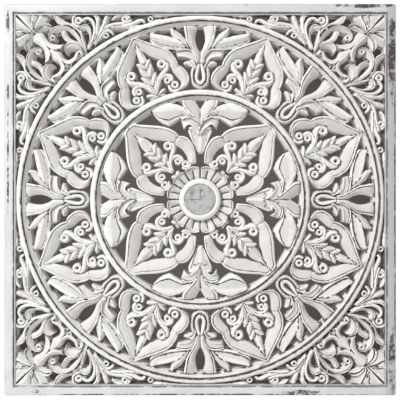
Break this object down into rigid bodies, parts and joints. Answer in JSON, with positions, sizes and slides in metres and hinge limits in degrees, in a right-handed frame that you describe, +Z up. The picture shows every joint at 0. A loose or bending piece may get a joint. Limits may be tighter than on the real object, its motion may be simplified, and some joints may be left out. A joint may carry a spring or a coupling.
{
  "type": "carved wall panel",
  "caption": "Square openwork wall panel with carved scrolls, leaves, two rings and a central rosette, held in a slim flat frame.",
  "frame": {"origin": "centre of the flat back, in the plane that lies against the wall", "axes": "+Z up, +X to the right as seen from the front, -Y the way the carved front faces, +Y into the wall"},
  "size_m": [0.9, 0.025, 0.9],
  "materials": {
    "frame_paint": "worn chalky grey-white paint over dark brown wood, matt, rubbed through along the arrises",
    "board_paint": "matt off-white wash with grey-brown shade in the grooves and dark wood rubbed through on crests and edges"
  },
  "bodies": {
    "root": {"frame": "frame_paint", "carved_panel": "board_paint"}
  },
  "joints": []
}
